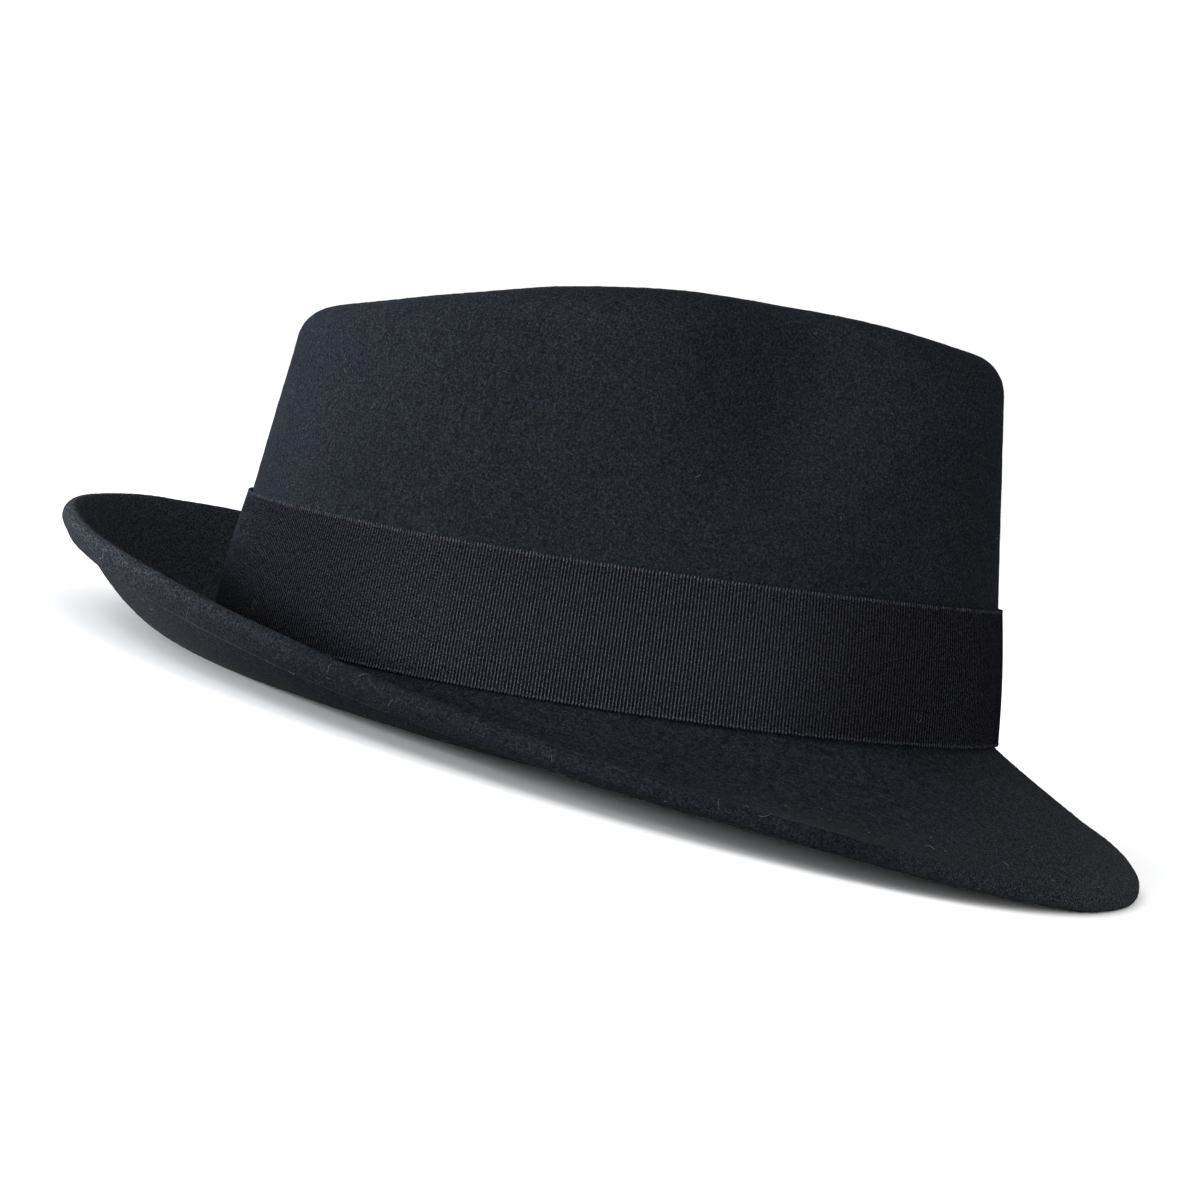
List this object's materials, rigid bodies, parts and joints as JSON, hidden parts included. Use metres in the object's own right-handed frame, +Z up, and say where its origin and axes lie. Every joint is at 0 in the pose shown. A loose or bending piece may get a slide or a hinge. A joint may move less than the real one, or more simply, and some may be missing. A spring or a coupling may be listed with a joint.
{
  "type": "fedora hat",
  "caption": "Felt hat with a dented, pinched crown, a brim snapped down at the front and turned up at the back, and a ribbed ribbon round the crown.",
  "frame": {"origin": "on the ground below the middle of the brim's outline, with the hat resting on its brim", "axes": "+X to the wearer's left, -Y to the front, +Z up; the hat is tilted back by 6.85 degrees, as it rests"},
  "size_m": [0.2766, 0.2952, 0.1231],
  "materials": {
    "felt": "brushed black felt with a fine short nap",
    "ribbon": "ribbed grosgrain with a low sheen"
  },
  "bodies": {
    "root": {"felt_body": "felt", "hat_band": "ribbon"}
  },
  "joints": []
}
